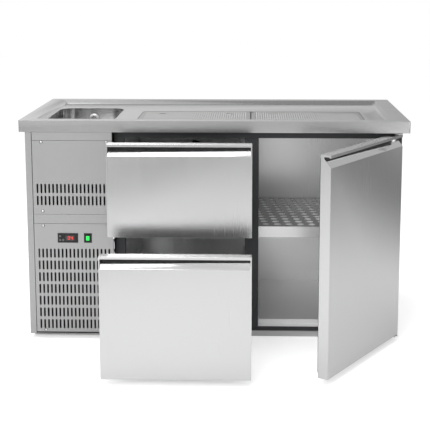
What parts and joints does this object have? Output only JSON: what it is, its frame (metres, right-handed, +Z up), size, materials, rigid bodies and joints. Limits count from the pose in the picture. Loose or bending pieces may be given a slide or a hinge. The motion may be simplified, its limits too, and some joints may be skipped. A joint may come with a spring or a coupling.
{
  "type": "under counter fridge",
  "caption": "Stainless refrigerated bar counter with sink bowl, drip plates, machine bay, two drawers and a hinged door.",
  "frame": {"origin": "on the floor, under the middle of the worktop's length and depth", "axes": "+X to the right seen from the front, the front faces -Y, +Z up"},
  "size_m": [1.5, 1.165, 0.875],
  "materials": {
    "worktop_steel": "satin brushed stainless steel",
    "panel_steel": "brushed stainless sheet",
    "front_steel": "brushed stainless sheet, vertical grain",
    "inner_steel": "plain stainless sheet",
    "frame_dark": "charcoal plastic thermal break",
    "foam": "rigid polyurethane foam",
    "gasket": "dark magnetic seal",
    "black_plastic": "black moulded plastic",
    "button_plastic": "dark grey moulded plastic",
    "lens_green": "translucent green plastic",
    "zinc": "zinc plated steel",
    "fins": "aluminium fins",
    "copper": "copper tube",
    "compressor_black": "black enamel",
    "plinth_steel": "pale stainless channel"
  },
  "bodies": {
    "cabinet": {"worktop": "worktop_steel", "sink_bowl": "worktop_steel", "sink_waste": "zinc", "overflow_rosette": "zinc", "drip_trough": "worktop_steel", "plinth_frame": "plinth_steel", "foot_inserts": "zinc", "base_plate": "panel_steel", "side_panel_left": "panel_steel", "side_panel_right": "panel_steel", "back_panel": "panel_steel", "cable_gland": "black_plastic", "liner_floor": "inner_steel", "liner_ceiling": "inner_steel", "liner_back": "inner_steel", "liner_sides": "inner_steel", "foam_insulation": "foam", "frame_top_rail": "frame_dark", "frame_bottom_rail": "frame_dark", "frame_cross_rail": "frame_dark", "frame_stile_left": "frame_dark", "frame_mullion": "frame_dark", "frame_stile_right": "frame_dark", "drawer_divider": "inner_steel", "lower_louvre_panel": "panel_steel", "upper_service_panel": "panel_steel", "service_strips": "panel_steel", "panel_screws": "zinc", "controller_housing": "black_plastic", "rocker_housing": "black_plastic", "condenser_coil": "fins", "condenser_shroud": "black_plastic", "condenser_fan_motor": "compressor_black", "compressor": "compressor_black", "refrigerant_pipes": "copper", "evaporator": "fins", "evaporator_fan_housing": "inner_steel", "hinge_brackets": "zinc", "cabinet_runners": "zinc", "shelf_rails": "inner_steel"},
    "door": {"door_shell": "front_steel", "door_liner": "inner_steel", "door_gasket": "gasket"},
    "upper_drawer": {"upper_drawer_front": "front_steel", "upper_drawer_gasket": "gasket", "upper_drawer_box": "inner_steel"},
    "upper_slides": {"upper_drawer_slides": "zinc"},
    "lower_drawer": {"lower_drawer_front": "front_steel", "lower_drawer_gasket": "gasket", "lower_drawer_box": "inner_steel"},
    "lower_slides": {"lower_drawer_slides": "zinc"},
    "shelf": {"shelf": "inner_steel"},
    "plate_left": {"drip_plate_left": "worktop_steel"},
    "plate_right": {"drip_plate_right": "worktop_steel"},
    "rocker": {"rocker_switch": "lens_green"},
    "button_set": {"button_set": "button_plastic"},
    "button_down": {"button_down": "button_plastic"},
    "button_up": {"button_up": "button_plastic"},
    "condenser_fan": {"condenser_fan_blade": "black_plastic"},
    "evaporator_fan": {"evaporator_fan_blade": "black_plastic"}
  },
  "joints": [
    {"name": "door_hinge", "type": "hinge", "parent": "cabinet", "child": "door", "pos_m": [0.711, -0.33, 0.42], "axis": [0, 0, 1], "range_deg": [-57, 53]},
    {"name": "upper_drawer_slide", "type": "slide", "parent": "cabinet", "child": "upper_drawer", "axis": [0, -1, 0], "range_m": [-0.242, 0.258]},
    {"name": "upper_middle_rails", "type": "slide", "parent": "cabinet", "child": "upper_slides", "axis": [0, -1, 0], "range_m": [-0.121, 0.129]},
    {"name": "lower_drawer_slide", "type": "slide", "parent": "cabinet", "child": "lower_drawer", "axis": [0, -1, 0], "range_m": [-0.475, 0.025]},
    {"name": "lower_middle_rails", "type": "slide", "parent": "cabinet", "child": "lower_slides", "axis": [0, -1, 0], "range_m": [-0.2375, 0.0125]},
    {"name": "shelf_lift", "type": "slide", "parent": "cabinet", "child": "shelf", "axis": [0, 0, 1], "range_m": [0, 0.1]},
    {"name": "plate_left_lift", "type": "slide", "parent": "cabinet", "child": "plate_left", "axis": [0, 0, 1], "range_m": [0, 0.12]},
    {"name": "plate_right_lift", "type": "slide", "parent": "cabinet", "child": "plate_right", "axis": [0, 0, 1], "range_m": [0, 0.12]},
    {"name": "rocker_tip", "type": "hinge", "parent": "cabinet", "child": "rocker", "pos_m": [-0.492, -0.339, 0.4105], "axis": [1, 0, 0], "range_deg": [0, 14]},
    {"name": "button_set_press", "type": "slide", "parent": "cabinet", "child": "button_set", "axis": [0, 1, 0], "range_m": [0, 0.0014], "stiffness_N_per_m": 350},
    {"name": "button_down_press", "type": "slide", "parent": "cabinet", "child": "button_down", "axis": [0, 1, 0], "range_m": [0, 0.0014], "stiffness_N_per_m": 350},
    {"name": "button_up_press", "type": "slide", "parent": "cabinet", "child": "button_up", "axis": [0, 1, 0], "range_m": [0, 0.0014], "stiffness_N_per_m": 350},
    {"name": "condenser_fan_spin", "type": "hinge", "parent": "cabinet", "child": "condenser_fan", "pos_m": [-0.547, -0.252, 0.19], "axis": [0, 1, 0], "continuous": true},
    {"name": "evaporator_fan_spin", "type": "hinge", "parent": "cabinet", "child": "evaporator_fan", "pos_m": [-0.116, 0.213, 0.65], "axis": [0, 1, 0], "continuous": true}
  ],
  "couplings": [
    {"joint": "upper_middle_rails", "follows": "upper_drawer_slide", "ratio": 0.5},
    {"joint": "lower_middle_rails", "follows": "lower_drawer_slide", "ratio": 0.5}
  ]
}
